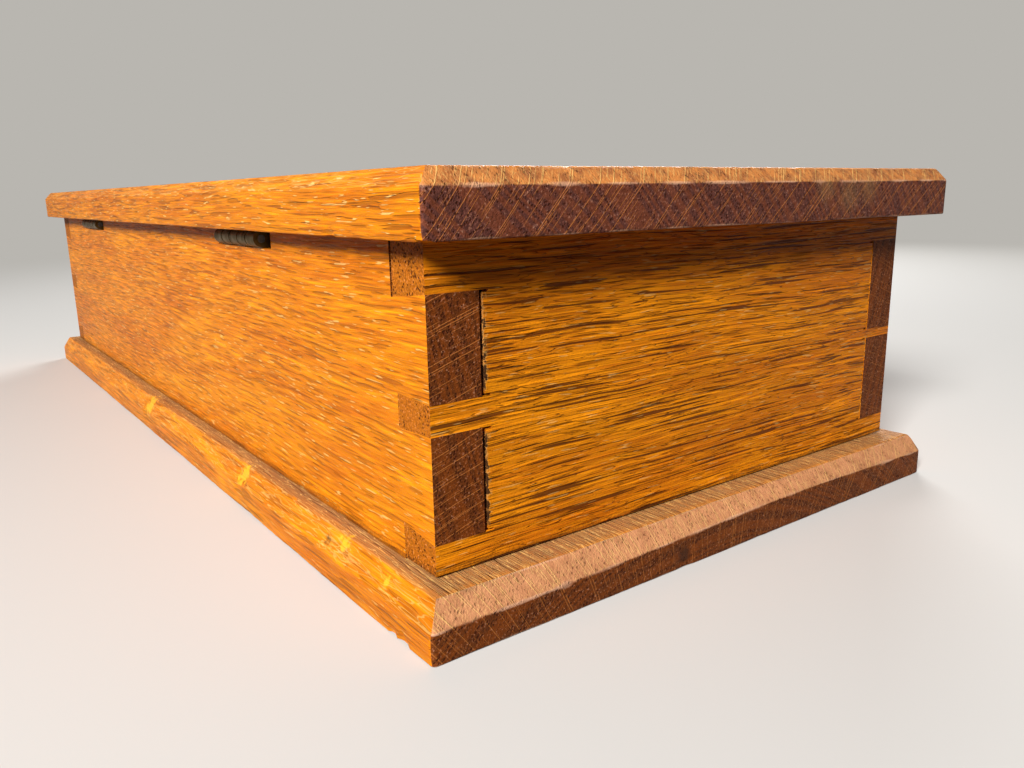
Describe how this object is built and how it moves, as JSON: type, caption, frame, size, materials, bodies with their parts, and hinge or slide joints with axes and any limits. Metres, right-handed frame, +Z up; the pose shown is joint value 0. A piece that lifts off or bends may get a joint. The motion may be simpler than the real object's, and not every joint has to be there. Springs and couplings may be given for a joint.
{
  "type": "stationery box",
  "caption": "Shallow oak box with hand-cut through dovetails, a bevelled base board that stands out as a plinth, and a bevelled overhanging lid on let-in butt hinges.",
  "frame": {"origin": "middle of the base board's underside", "axes": "+X along the length, +Y towards the back, where the hinges are, +Z up"},
  "size_m": [0.3204, 0.1404, 0.0726],
  "materials": {
    "base_oak": "worn wax over stained oak",
    "wall_oak": "open-pored stained oak, satin",
    "lid_oak": "open-pored stained oak, satin",
    "hinge_brass": "dull tarnished brass",
    "pin_steel": "dull steel",
    "screw_brass": "dull brass",
    "screw_steel": "dull steel"
  },
  "bodies": {
    "case": {"base_board": "base_oak", "front_wall": "wall_oak", "back_wall": "wall_oak", "left_end_wall": "wall_oak", "right_end_wall": "wall_oak", "left_hinge_wall_leaf": "hinge_brass", "left_hinge_pin": "pin_steel", "left_hinge_wall_screws": "screw_brass", "right_hinge_wall_leaf": "hinge_brass", "right_hinge_pin": "pin_steel", "right_hinge_wall_screws": "screw_brass", "front_base_screws": "screw_steel", "back_base_screws": "screw_steel", "end_base_screws": "screw_steel"},
    "lid": {"lid_board": "lid_oak", "left_hinge_lid_leaf": "hinge_brass", "left_hinge_lid_screws": "screw_brass", "right_hinge_lid_leaf": "hinge_brass", "right_hinge_lid_screws": "screw_brass"}
  },
  "joints": [
    {"name": "lid_hinge", "type": "hinge", "parent": "case", "child": "lid", "pos_m": [0, 0.06425, 0.06055], "axis": [-1, 0, 0], "range_deg": [0, 108]}
  ]
}
